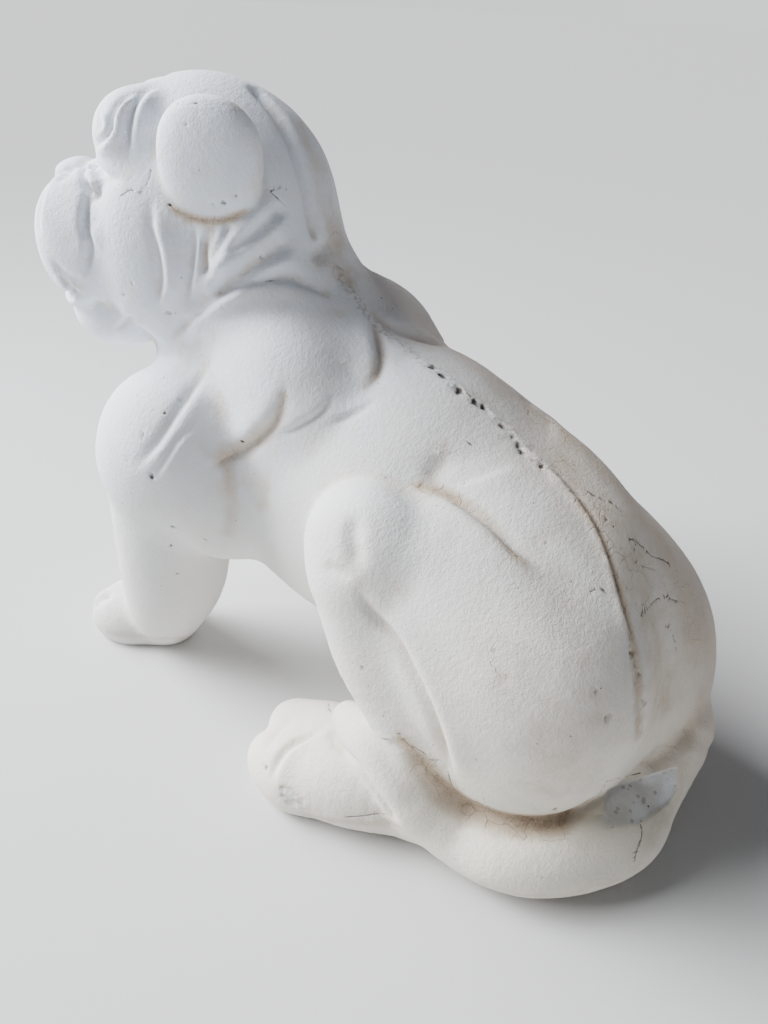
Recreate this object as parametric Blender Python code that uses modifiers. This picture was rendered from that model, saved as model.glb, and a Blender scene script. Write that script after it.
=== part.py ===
"""A bulldog garden statue, cast in one piece.

It sits with its head turned to its left and its tail laid round its left haunch. Run it with
blender --background --python part.py, or from Blender's text editor. Metres, +Z up, the dog faces -Y
and its left side is +X. The origin is on the ground, under the middle of the statue's box.

The figure is modelled as a sculptor would in clay. Egg-shaped masses and tapering limbs are laid over
each other and blended where they meet. Folds are raised, pressed in or lapped over along curves, the
surface is thinned to a light mesh, and the underside is cut flat.
"""

import math

import bmesh
import bpy
import numpy as np
from mathutils import Euler, Matrix

# Driving size. Places, masses and folds below are in grains, where the whole figure is 450 grains tall.
STATUE_HEIGHT = 0.450
FIGURE_GRAINS = 450
GRAIN = STATUE_HEIGHT / FIGURE_GRAINS

# Size of the clay's voxels, in grains, and the triangles left on the finished solid.
CLAY_VOXEL = 3.6
SURFACE_TRIANGLES = 9400

# How sharply a lapping fold falls over its edge, in grains.
LAP_EDGE = 2.0

# The middle of the figure's box, which goes over the origin, in grains.
MIDDLE = (0, -8.6)

# The painted concrete: its colour as linear red, green and blue, and how dull it is.
COLOUR = (0.78, 0.76, 0.72, 1)
ROUGHNESS = 0.8

# The head sits on the neck at this place, turned to the dog's left. Its own axes are left, forward and up.
HEAD_PLACE = (12, -140, 375)
HEAD_YAW = 30


def turned(tilt):
    """The rotation matrix of a tilt in degrees about X, Y and Z."""
    return np.array(Euler([math.radians(angle) for angle in tilt]).to_matrix())


def head_axes():
    """Columns are the head's left, forward and up directions in the statue's frame."""
    yaw = math.radians(HEAD_YAW)
    left = (math.cos(yaw), math.sin(yaw), 0)
    forward = (math.sin(yaw), -math.cos(yaw), 0)
    return np.array([left, forward, (0, 0, 1)]).T


def egg(at, size, tilt=(0, 0, 0), blend=12, both=False, square=2):
    """An egg-shaped mass: its centre, half sizes and tilt, and how widely it blends into what is there.

    Over 2, square makes it squarer, like a cushion.
    """
    place = {"kind": "egg", "at": at, "size": size, "tilt": tilt}
    return place | {"blend": blend, "both": both, "square": square}


def limb(points, blend=12, both=False):
    """A tapering limb through points of (x, y, z, radius)."""
    return {"kind": "limb", "points": points, "blend": blend, "both": both}


TORSO = (
    egg(at=(0, -95, 205), size=(88, 88, 108), tilt=(-12, 0, 0)),
    egg(at=(-2, 3, 200), size=(95, 116, 101), tilt=(-12, 0, 0), blend=40),
    egg(at=(-44, 46, 200), size=(52, 62, 62), tilt=(-20, 0, 0), blend=20),
    egg(at=(0, -15, 163), size=(84, 115, 85), tilt=(-4, 0, 0), blend=30),
    egg(at=(0, 105, 160), size=(92, 94, 96), tilt=(-35, 0, 0), blend=40),
    egg(at=(0, 132, 92), size=(108, 90, 110), blend=30),
    egg(at=(-51, 171, 84), size=(63, 70, 86), blend=30),
    egg(at=(34, 108, 226), size=(24, 38, 24), tilt=(-25, 0, 0), blend=20, both=True),
)

SHOULDERS = (
    egg(at=(46, -62, 268), size=(42, 60, 52), tilt=(-35, 8, 0), blend=14, both=True),
    egg(at=(90, -133, 216), size=(56, 59, 62), tilt=(-20, 0, 0), blend=16, both=True),
    egg(at=(88, -96, 185), size=(35, 43, 45), tilt=(20, 0, 0), blend=20, both=True),
)

FORELEGS = (
    limb(
        (
            (88, -142, 200, 50),
            (90, -153, 140, 46),
            (89, -163, 85, 43),
            (88, -178, 45, 36),
            (84, -192, 12, 28),
        ),
        blend=14,
        both=True,
    ),
    egg(at=(100, -216, 15), size=(32, 40, 30), tilt=(0, 0, 28), blend=8, both=True),
)

HAUNCHES = (
    egg(at=(67, 92, 157), size=(55, 98, 88), tilt=(-35, 0, 0), blend=9),
    egg(at=(-64, 92, 144), size=(52, 94, 82), tilt=(-35, 0, 0), blend=9),
    egg(at=(56, 148, 136), size=(54, 66, 80), tilt=(-30, 0, 0), blend=38),
    egg(at=(-50, 144, 126), size=(51, 66, 74), tilt=(-30, 0, 0), blend=38),
    egg(at=(91, 43, 207), size=(33, 45, 49), tilt=(-12, 0, 0), blend=9),
    egg(at=(-88, 42, 199), size=(32, 42, 42), tilt=(-12, 0, 0), blend=9),
    limb(((92, 44, 190, 36), (96, 63, 140, 33), (99, 99, 85, 27), (104, 112, 30, 27)), blend=10, both=True),
)

HINDFEET = (
    limb(((102, 100, 22, 27), (119, 60, 28, 34), (133, 23, 22, 30)), blend=10, both=True),
    egg(at=(139, 14, 20), size=(25, 37, 28), blend=8, both=True),
    egg(at=(111, 9, 25), size=(25, 37, 27), blend=8, both=True),
    egg(at=(104, 39, 34), size=(26, 38, 28), blend=14, both=True),
)

TAIL = (
    limb(
        (
            (-38, 207, 58, 48),
            (1, 218, 31, 35),
            (35, 224, 28, 30),
            (63, 209, 27, 30),
            (85, 190, 27, 29),
            (98, 168, 27, 28),
            (103, 141, 27, 26),
            (108, 122, 37, 25),
            (114, 107, 49, 24),
            (117, 92, 62, 22),
            (118, 76, 72, 19),
            (115, 60, 76, 16),
            (111, 46, 75, 12),
        ),
        blend=5,
    ),
)

NECK = (
    limb(((0, -80, 250, 78), (2, -111, 300, 67), (6, -132, 345, 56)), blend=28),
    egg(at=(28, -146, 270), size=(50, 50, 60), blend=20),
)

HEAD = (
    egg(at=(-1, 9, 12.7), size=(61, 75, 60.6), tilt=(18, 0, 0), blend=20),
    egg(at=(4, -6, -30), size=(62, 52, 66), blend=30),
    egg(at=(38, 42, -28), size=(34, 44, 58), blend=16, both=True),
    egg(at=(25, 53, 38), size=(28, 28, 29), blend=10, both=True),
    egg(at=(30, 93, -28), size=(31, 38, 46), blend=12, both=True),
    egg(at=(0, 88, -26), size=(38, 36, 42), blend=12),
    egg(at=(0, 108, 5), size=(20, 18, 14), blend=4, square=2.4),
    egg(at=(36, 76, 11), size=(11, 10, 8), blend=3, both=True),
    egg(at=(0, 88, -78), size=(46, 38, 31), blend=10),
    egg(at=(60, -4, 36), size=(15, 32, 33), blend=6, square=2.2),
    egg(at=(-57, 4, 28), size=(14, 31, 32), blend=6, square=2.2),
)

def lap(points, rise, width, sink, both=True):
    """A fold that laps over: raised on its left hand, sunk on its right."""
    return {"points": points, "rise": rise, "width": width, "sink": sink, "both": both}


def ridge(points, rise, width, both=True):
    """A fold the same on both sides, raised, or pressed in if its rise is below zero."""
    return {"points": points, "rise": rise, "width": width, "sink": None, "both": both}


# Folds of the head, in its own frame, then of the body. A lap is raised on the left hand of its line,
# seen from outside, and sinks on the right. A groove is a ridge with its rise below zero.
HEAD_FOLDS = (
    lap(((28, 33, 68), (42, 42, 60), (52, 46, 45), (57, 47, 29)), 4.5, 9, 2),
    lap(((35, 45, 66), (48, 57, 53), (51, 60, 43), (43, 75, 33)), 4, 7, 2),
    lap(((40, 76, 26), (47, 70, 23), (56, 57, 20)), 2.5, 7, 2.5),
    lap(((59, 91, -43), (61, 82, -20), (57, 84, -6), (41, 82, 15)), 3, 9, 4),
    ridge(((56, 113, -32), (58, 102, -43), (59, 89, -42)), -3, 5),
    lap(((51, 95, -61), (55, 104, -50), (55, 113, -42)), 2.5, 7, 2),
    lap(((45, 87, -85), (50, 74, -76), (65, 54, -59)), 2.5, 8, 2),
    lap(((64, 31, 15), (71, 29, -16), (71, 29, -35), (67, 40, -60)), 5, 11, 3),
    lap(((68, 4, -1), (69, 6, -15), (68, 16, -50)), 4.5, 8, 2.5),
    ridge(((47, -40, 16), (60, -30, 6), (69, -12, -17), (70, -2, -34)), 6, 7),
    ridge(((45, -45, 10), (67, -21, -10), (70, -12, -19)), -4, 4.5),
    ridge(((47, -47, 4), (68, -21, -16), (69, 7, -44)), 5, 6),
    ridge(((50, -49, -11), (64, -34, -21), (71, -2, -45)), -3, 5),
    ridge(((48, -55, -19), (63, -38, -26), (70, 0, -51), (63, 25, -69)), 5, 7),
)

BODY_FOLDS = (
    ridge(((2, -131, 444), (8, -90, 414), (11, -73, 377), (12, -67, 358)), -5, 6, both=False),
    ridge(((-12, -72, 360), (6, -66, 355), (23, -65, 350)), -4, 7, both=False),
    lap(((14, -44, 325), (33, -62, 337), (60, -83, 338), (76, -117, 312), (79, -146, 288)), 4, 16, 3),
    lap(((51, -2, 289), (30, -2, 299), (8, -25, 313), (5, -36, 321)), 4, 16, 4),
    lap(((115, -80, 229), (91, -61, 246), (87, -42, 269), (76, -37, 297)), 5, 16, 5),
    lap(((79, -100, 291), (95, -104, 271), (131, -102, 246), (143, -117, 225)), 3, 10, 5),
    lap(((103, -87, 255), (129, -95, 238), (139, -103, 219)), 2.5, 7, 2.5),
    lap(((88, -39, 258), (71, -14, 280), (58, -12, 290)), 1.6, 8, 2.5),
    lap(((64, 146, 231), (67, 126, 239), (65, 98, 249), (69, 66, 253)), 3, 16, 4),
    ridge(((98, 46, 247), (116, 47, 229), (120, 59, 213)), -4.5, 10),
    lap(((120, 58, 215), (119, 79, 189), (122, 103, 170), (123, 125, 136), (114, 137, 87)), 4, 15, 5),
    ridge(((70, 60, 252), (56, 70, 262), (40, 80, 267)), -3.5, 9),
    lap(((120, 37, 67), (139, 20, 54), (152, 17, 46), (163, 19, 31)), 2, 9, 5),
    ridge(((120, 3, 55), (136, -1, 46), (154, 2, 41)), -2, 5),
    ridge(((-31, 241, 94), (-11, 238, 80), (15, 223, 65)), -4, 7, both=False),
)

# Folds of the front of the face: nose, flews, mouth, eyes and brow. Then of the front paws and chest.
FACE_FOLDS = (
    ridge(((0, 121, -8), (0, 128, -26), (0, 120, -48)), -6, 5, both=False),
    lap(((57, 96, -50), (46, 108, -62), (26, 119, -58), (4, 120, -48)), 4, 8, 5),
    ridge(((7, 126, 5), (13, 123, 8), (17, 117, 8)), -4, 3.5),
    ridge(((21, 108, 12), (20, 117, -2), (12, 124, -9), (3, 127, -12)), -4, 4),
    ridge(((-36, 84, 18), (-18, 92, 24), (0, 95, 26), (18, 92, 24), (36, 84, 18)), 3.5, 6, both=False),
    ridge(((-22, 96, 12), (0, 103, 19), (22, 96, 12)), -2.5, 4, both=False),
    ridge(((0, 86, 34), (0, 84, 50), (0, 66, 66), (0, 36, 74)), -6, 7, both=False),
    lap(((22, 84, 8), (30, 86, 1), (41, 82, -1), (48, 74, 3)), 2, 5, 3),
    lap(((50, 72, 18), (40, 82, 20), (28, 85, 17), (20, 88, 10)), 2, 5, 3),
    lap(((26, 100, 8), (37, 106, -6), (44, 110, -24)), 1.5, 8, 1.5),
    ridge(((20, 92, -100), (0, 95, -103), (-20, 92, -100)), -2, 6, both=False),
)

PAW_FOLDS = (
    ridge(((114, -220, 42), (126, -242, 30), (130, -250, 12)), -5, 5),
    ridge(((96, -230, 42), (108, -252, 30), (113, -258, 12)), -5, 5),
    ridge(((0, -190, 215), (0, -186, 170), (0, -170, 120)), -4, 12, both=False),
)

def grown(masses, axes=np.identity(3), place=(0, 0, 0)):
    """The masses as plain shapes in the statue's frame, each mirrored one twice."""
    shapes = []
    for mass in masses:
        for side in (1, -1) if mass["both"] else (1,):
            flip = np.array((side, 1, 1))
            if mass["kind"] == "egg":
                centre = axes @ (np.array(mass["at"]) * flip) + place
                roll, lean, swing = mass["tilt"]
                turn = axes @ turned((roll, lean * side, swing * side))
                size = np.array(mass["size"], float)
                shapes.append(("egg", centre, size, turn, mass["square"], mass["blend"]))
            else:
                ends = np.array([axes @ (np.array(point[:3]) * flip) + place for point in mass["points"]])
                radii = np.array([point[3] for point in mass["points"]], float)
                shapes.append(("limb", *smooth_line(ends, radii), mass["blend"]))
    return shapes


def smooth_line(points, radii, steps=3):
    """A Catmull-Rom curve through the points, with its radii, as more points."""
    rows = np.column_stack([points, radii])
    rows = np.vstack([2 * rows[0] - rows[1], rows, 2 * rows[-1] - rows[-2]])
    out = []
    for before, start, end, after in zip(rows, rows[1:], rows[2:], rows[3:]):
        for t in np.arange(steps) / steps:
            pull = (end - before) * t + (3 * start - before - 3 * end + after) * t**3
            out.append(start + 0.5 * (pull + (2 * before - 5 * start + 4 * end - after) * t**2))
    out = np.array(out + [rows[-2]])
    return out[:, :-1], out[:, -1]


def egg_distance(points, centre, size, turn, square):
    """About how far each point is outside an egg, below zero inside it."""
    local = np.abs((points - centre) @ turn) / size
    ratio = np.maximum(np.sum(local**square, axis=1) ** (1 / square), 1e-6)
    slope = np.linalg.norm((local / ratio[:, None]) ** (square - 1) / size, axis=1)
    return (ratio - 1) / np.maximum(slope, 1e-9)


def limb_distance(points, line, radii):
    """How far each point is outside a tapering limb."""
    nearest = np.full(len(points), np.inf)
    for start, end, wide, narrow in zip(line, line[1:], radii, radii[1:]):
        along = end - start
        t = np.clip((points - start) @ along / (along @ along), 0, 1)
        gap = np.linalg.norm(points - start - t[:, None] * along, axis=1)
        nearest = np.minimum(nearest, gap - wide - t * (narrow - wide))
    return nearest


def blended(first, second, width):
    """The union of two distances, with the crease between them filled over this width."""
    overlap = np.maximum(width - np.abs(first - second), 0) / width
    return np.minimum(first, second) - overlap**2 * width / 4


# Masses further than this from a point have no say in it, in grains.
REACH = 60


def clay_distance(points, shapes):
    """How far each point is outside the blended figure."""
    total = np.full(len(points), float(REACH))
    for shape in shapes:
        if shape[0] == "egg":
            middle, radius, measure = shape[1], shape[2].max() * 1.3, egg_distance
        else:
            middle = shape[1].mean(axis=0)
            radius = (np.linalg.norm(shape[1] - middle, axis=1) + shape[2]).max()
            measure = limb_distance
        near = np.linalg.norm(points - middle, axis=1) < radius + REACH
        total[near] = blended(total[near], measure(points[near], *shape[1:-1]), shape[-1])
    return total


def all_shapes():
    head = grown(HEAD, head_axes(), np.array(HEAD_PLACE, float))
    return grown(TORSO + NECK + SHOULDERS + FORELEGS + HAUNCHES + HINDFEET) + head + grown(TAIL)


def drawn(folds, axes=np.identity(3), place=(0, 0, 0)):
    """The folds as smooth curves in the statue's frame, each mirrored one twice."""
    curves = []
    for each in folds:
        for side in (1, -1) if each["both"] else (1,):
            ends = np.array(each["points"], float) * (side, 1, 1) @ axes.T + place
            line = smooth_line(ends, np.zeros(len(ends)))[0]
            curves.append((line, each["rise"], each["width"], each["sink"], side))
    return curves


def laid(curves, shapes):
    """The curves with every point moved onto the surface of the masses."""
    ends = np.cumsum([len(curve[0]) for curve in curves])[:-1]
    spots = np.concatenate([curve[0] for curve in curves])
    spots = settle(spots, lambda points: clay_distance(points, shapes), rounds=8)
    return [(line, *curve[1:]) for line, curve in zip(np.split(spots, ends), curves)]


def beside(points, outward, line):
    """How far each point is from the line, below zero on its right hand, how far along, and its length."""
    nearest, hand, along = np.full(len(points), np.inf), np.ones(len(points)), np.zeros(len(points))
    passed = 0
    for start, end in zip(line, line[1:]):
        run = end - start
        length = np.linalg.norm(run)
        t = np.clip((points - start) @ run / length**2, 0, 1)
        offset = points - start - t[:, None] * run
        gap = np.linalg.norm(offset, axis=1)
        closer = gap < nearest
        nearest[closer] = gap[closer]
        hand[closer] = np.sign(np.sum(np.cross(run, offset[closer]) * outward[closer], axis=1))
        along[closer] = passed + t[closer] * length
        passed += length
    return nearest * hand, along, passed


def relief(points, outward, curves):
    """How far each point is raised by the curves, in grains. Every fold dies away towards its ends."""
    total = np.zeros(len(points))
    for line, rise, width, sink, turn in curves:
        reach = 3 * width
        near = np.all((points > line.min(axis=0) - reach) & (points < line.max(axis=0) + reach), axis=1)
        gap, along, length = beside(points[near], outward[near], line)
        ends = np.clip(np.minimum(along, length - along) / min(0.4 * length, 2.5 * width), 0, 1)
        if sink is None:
            height = rise * np.exp(-((gap / width) ** 2))
        else:
            height = rise * np.exp(-((gap / width) ** 2)) * (1 + np.tanh(gap * turn / LAP_EDGE)) / 2
            height -= sink * np.exp(-(((gap * turn + LAP_EDGE) / (0.35 * width)) ** 2))
        total[near] += height * ends * ends * (3 - 2 * ends)
    return total


def facing(points, shapes):
    """The outward direction of the masses' surface at each point."""
    probe = 0.5
    height = clay_distance(points, shapes)
    steps = [clay_distance(points + probe * axis, shapes) - height for axis in np.identity(3)]
    slope = np.stack(steps, axis=1)
    return slope / np.maximum(np.linalg.norm(slope, axis=1, keepdims=True), 1e-9)


def worked(mesh, name, kind, **settings):
    """The mesh after one modifier."""
    item = bpy.data.objects.new(name, mesh)
    bpy.context.scene.collection.objects.link(item)
    modifier = item.modifiers.new(name, kind)
    for key, value in settings.items():
        setattr(modifier, key, value)
    graph = bpy.context.evaluated_depsgraph_get()
    result = bpy.data.meshes.new_from_object(item.evaluated_get(graph))
    bpy.data.objects.remove(item)
    return result


def places(mesh):
    """Where the mesh's vertices are."""
    points = np.empty(len(mesh.vertices) * 3)
    mesh.vertices.foreach_get("co", points)
    return points.reshape(-1, 3)


def put(mesh, points):
    """Moves the mesh's vertices to these points."""
    mesh.vertices.foreach_set("co", points.ravel())
    mesh.update()


def rough_clay(shapes, voxel):
    """One closed mesh round all the masses, in grains, in cells of this size."""
    data = bpy.data.meshes.new("rough_clay")
    for shape in shapes:
        work = bmesh.new()
        work.from_mesh(data)
        if shape[0] == "egg":
            place = Matrix.Translation(shape[1]) @ Matrix(shape[3]).to_4x4() @ Matrix.Diagonal((*shape[2], 1))
            bmesh.ops.create_icosphere(work, subdivisions=3, radius=1, matrix=place)
        else:
            for start, end, wide, narrow in zip(shape[1], shape[1][1:], shape[2], shape[2][1:]):
                for t in (0, 0.5, 1):
                    place = Matrix.Translation(start + t * (end - start))
                    radius = wide + t * (narrow - wide)
                    bmesh.ops.create_icosphere(work, subdivisions=2, radius=radius, matrix=place)
        work.to_mesh(data)
        work.free()
    return worked(data, "fuse", "REMESH", mode="VOXEL", voxel_size=voxel)


def settle(points, measure, rounds=3):
    """Moves each point onto the surface where the measured distance is nought."""
    probe = 0.5
    for _ in range(rounds):
        height = measure(points)
        slope = np.stack([measure(points + probe * axis) - height for axis in np.identity(3)], axis=1) / probe
        slope /= np.maximum(np.linalg.norm(slope, axis=1, keepdims=True) ** 2, 0.25)
        points = points - np.clip(height, -8, 8)[:, None] * slope
    return points


def cut_flat(mesh):
    """Cuts the figure off flat at the ground and closes its underside."""
    work = bmesh.new()
    work.from_mesh(mesh)
    everything = work.verts[:] + work.edges[:] + work.faces[:]
    ground = {"plane_co": (0, 0, 0), "plane_no": (0, 0, -1), "clear_outer": True}
    cut = bmesh.ops.bisect_plane(work, geom=everything, **ground)
    rim = [item for item in cut["geom_cut"] if isinstance(item, bmesh.types.BMEdge)]
    bmesh.ops.holes_fill(work, edges=rim)
    bmesh.ops.triangulate(work, faces=work.faces)
    work.to_mesh(mesh)
    work.free()


def painted_concrete():
    material = bpy.data.materials.new("white painted concrete")
    material.use_nodes = True
    shader = material.node_tree.nodes["Principled BSDF"]
    shader.inputs["Base Color"].default_value = COLOUR
    shader.inputs["Roughness"].default_value = ROUGHNESS
    shader.inputs["Metallic"].default_value = 0
    return material


def main():
    for item in list(bpy.data.objects):
        bpy.data.objects.remove(item)
    collection = bpy.data.collections.new("bulldog garden statue")
    bpy.context.scene.collection.children.link(collection)
    shapes = all_shapes()
    head_curves = drawn(HEAD_FOLDS + FACE_FOLDS, head_axes(), np.array(HEAD_PLACE, float))
    curves = laid(drawn(BODY_FOLDS + PAW_FOLDS) + head_curves, shapes)
    mesh = rough_clay(shapes, CLAY_VOXEL)
    base = settle(places(mesh), lambda spots: clay_distance(spots, shapes))
    outward = facing(base, shapes)
    put(mesh, base + outward * relief(base, outward, curves)[:, None])
    triangles = sum(len(face.vertices) - 2 for face in mesh.polygons)
    mesh = worked(mesh, "thin", "DECIMATE", ratio=SURFACE_TRIANGLES / triangles)
    cut_flat(mesh)
    mesh.transform(Matrix.Scale(GRAIN, 4) @ Matrix.Translation((-MIDDLE[0], -MIDDLE[1], 0)))
    mesh.shade_smooth()
    mesh.materials.append(painted_concrete())
    collection.objects.link(bpy.data.objects.new("bulldog_statue", mesh))


main()
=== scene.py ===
import math

import bmesh
import bpy
import numpy as np
from mathutils import Euler, Matrix, Vector, noise


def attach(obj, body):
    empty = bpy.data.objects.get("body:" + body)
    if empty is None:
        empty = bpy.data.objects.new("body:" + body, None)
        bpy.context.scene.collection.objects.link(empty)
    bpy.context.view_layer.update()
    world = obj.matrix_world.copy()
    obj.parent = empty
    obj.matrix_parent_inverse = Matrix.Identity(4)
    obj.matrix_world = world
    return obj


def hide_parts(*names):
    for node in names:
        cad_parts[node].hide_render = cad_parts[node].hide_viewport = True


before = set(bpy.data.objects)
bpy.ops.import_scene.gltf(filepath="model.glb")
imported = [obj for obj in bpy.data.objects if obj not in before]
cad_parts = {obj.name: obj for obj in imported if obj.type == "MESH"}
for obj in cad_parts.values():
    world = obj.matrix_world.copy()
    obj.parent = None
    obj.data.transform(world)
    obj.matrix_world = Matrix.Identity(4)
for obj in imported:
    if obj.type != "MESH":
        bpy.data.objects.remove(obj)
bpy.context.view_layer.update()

# The solid is modelled in grains, one to the millimetre. MIDDLE is the middle of the figure's box there.
GRAIN = 0.001
MIDDLE = (0, -8.6)

# The photograph's frame in pixels, and the camera that sees the statue as it does, in grains and degrees.
PHOTO_SIZE = (768, 1024)
CAMERA_AZIMUTH, CAMERA_ELEVATION, CAMERA_ROLL = 125.9, 34.7, 2.7
CAMERA_PLACE = (392.3, 271.3, 501.2)
FOCAL_PIXELS = 768
FILM_WIDTH = 36

# Lines of sight are followed from this far in front of the camera, where none has reached the statue yet.
SIGHT_START = 220

# Sizes of the clay's and then the surface's cells, in grains, and the triangles left at the end.
CLAY_VOXEL = 4.0
SURFACE_VOXEL = 1.9
SURFACE_TRIANGLES = 150000

# How sharply a lapping fold falls over its edge, in grains.
LAP_EDGE = 1.4

# The head sits on the neck at this place, turned to the dog's left. Its own axes are left, forward and up.
HEAD_PLACE = (12, -140, 375)
HEAD_YAW = 30


def turned(tilt):
    """The rotation matrix of a tilt in degrees about X, Y and Z."""
    return np.array(Euler([math.radians(angle) for angle in tilt]).to_matrix())


def head_axes():
    """Columns are the head's left, forward and up directions in the statue's frame."""
    yaw = math.radians(HEAD_YAW)
    left = (math.cos(yaw), math.sin(yaw), 0)
    forward = (math.sin(yaw), -math.cos(yaw), 0)
    return np.array([left, forward, (0, 0, 1)]).T


def egg(at, size, tilt=(0, 0, 0), blend=12, both=False, square=2):
    """An egg-shaped mass: its centre, half sizes and tilt, and how widely it blends into what is there.

    Over 2, square makes it squarer, like a cushion.
    """
    place = {"kind": "egg", "at": at, "size": size, "tilt": tilt}
    return place | {"blend": blend, "both": both, "square": square}


def limb(points, blend=12, both=False):
    """A tapering limb through points of (x, y, z, radius)."""
    return {"kind": "limb", "points": points, "blend": blend, "both": both}


def lap(points, rise, width, sink, both=True):
    """A fold that laps over: raised on its left hand, sunk on its right."""
    return {"points": points, "rise": rise, "width": width, "sink": sink, "both": both}


def ridge(points, rise, width, both=True):
    """A fold the same on both sides, raised or pressed in."""
    return {"points": points, "rise": rise, "width": width, "sink": None, "both": both}


TORSO = (
    egg(at=(0, -95, 205), size=(88, 88, 108), tilt=(-12, 0, 0)),
    egg(at=(-2, 3, 200), size=(95, 116, 101), tilt=(-12, 0, 0), blend=40),
    egg(at=(-44, 46, 200), size=(52, 62, 62), tilt=(-20, 0, 0), blend=20),
    egg(at=(0, -15, 163), size=(84, 115, 85), tilt=(-4, 0, 0), blend=30),
    egg(at=(0, 105, 160), size=(92, 94, 96), tilt=(-35, 0, 0), blend=40),
    egg(at=(0, 132, 92), size=(108, 90, 110), blend=30),
    egg(at=(-51, 171, 84), size=(63, 70, 86), blend=30),
    egg(at=(34, 108, 226), size=(24, 38, 24), tilt=(-25, 0, 0), blend=20, both=True),
)

SHOULDERS = (
    egg(at=(46, -62, 268), size=(42, 60, 52), tilt=(-35, 8, 0), blend=14, both=True),
    egg(at=(90, -133, 216), size=(56, 59, 62), tilt=(-20, 0, 0), blend=16, both=True),
    egg(at=(88, -96, 185), size=(35, 43, 45), tilt=(20, 0, 0), blend=20, both=True),
)

FORELEGS = (
    limb(
        (
            (88, -142, 200, 50),
            (90, -153, 140, 46),
            (89, -163, 85, 43),
            (88, -178, 45, 36),
            (84, -192, 12, 28),
        ),
        blend=14,
        both=True,
    ),
    egg(at=(100, -216, 15), size=(32, 40, 30), tilt=(0, 0, 28), blend=8, both=True),
)

HAUNCHES = (
    egg(at=(67, 92, 157), size=(55, 98, 88), tilt=(-35, 0, 0), blend=9),
    egg(at=(-64, 92, 144), size=(52, 94, 82), tilt=(-35, 0, 0), blend=9),
    egg(at=(56, 148, 136), size=(54, 66, 80), tilt=(-30, 0, 0), blend=38),
    egg(at=(-50, 144, 126), size=(51, 66, 74), tilt=(-30, 0, 0), blend=38),
    egg(at=(91, 43, 207), size=(33, 45, 49), tilt=(-12, 0, 0), blend=9),
    egg(at=(-88, 42, 199), size=(32, 42, 42), tilt=(-12, 0, 0), blend=9),
    limb(((92, 44, 190, 36), (96, 63, 140, 33), (99, 99, 85, 27), (104, 112, 30, 27)), blend=10, both=True),
)

HINDFEET = (
    limb(((102, 100, 22, 27), (119, 60, 28, 34), (133, 23, 22, 30)), blend=10, both=True),
    egg(at=(139, 14, 20), size=(25, 37, 28), blend=8, both=True),
    egg(at=(111, 9, 25), size=(25, 37, 27), blend=8, both=True),
    egg(at=(104, 39, 34), size=(26, 38, 28), blend=14, both=True),
)

TAIL = (
    limb(
        (
            (-38, 207, 58, 48),
            (1, 218, 31, 35),
            (35, 224, 28, 30),
            (63, 209, 27, 30),
            (85, 190, 27, 29),
            (98, 168, 27, 28),
            (103, 141, 27, 26),
            (108, 122, 37, 25),
            (114, 107, 49, 24),
            (117, 92, 62, 22),
            (118, 76, 72, 19),
            (115, 60, 76, 16),
            (111, 46, 75, 12),
        ),
        blend=5,
    ),
)

NECK = (
    limb(((0, -80, 250, 78), (2, -111, 300, 67), (6, -132, 345, 56)), blend=28),
    egg(at=(28, -146, 270), size=(50, 50, 60), blend=20),
)

HEAD = (
    egg(at=(-1, 9, 12.7), size=(61, 75, 60.6), tilt=(18, 0, 0), blend=20),
    egg(at=(4, -6, -30), size=(62, 52, 66), blend=30),
    egg(at=(38, 42, -28), size=(34, 44, 58), blend=16, both=True),
    egg(at=(25, 53, 38), size=(28, 28, 29), blend=10, both=True),
    egg(at=(30, 93, -28), size=(31, 38, 46), blend=12, both=True),
    egg(at=(0, 88, -26), size=(38, 36, 42), blend=12),
    egg(at=(0, 108, 5), size=(20, 18, 14), blend=4, square=2.4),
    egg(at=(36, 76, 11), size=(11, 10, 8), blend=3, both=True),
    egg(at=(0, 88, -78), size=(46, 38, 31), blend=10),
    egg(at=(60, -4, 36), size=(15, 32, 33), blend=6, square=2.2),
    egg(at=(-57, 4, 28), size=(14, 31, 32), blend=6, square=2.2),
)

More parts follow.
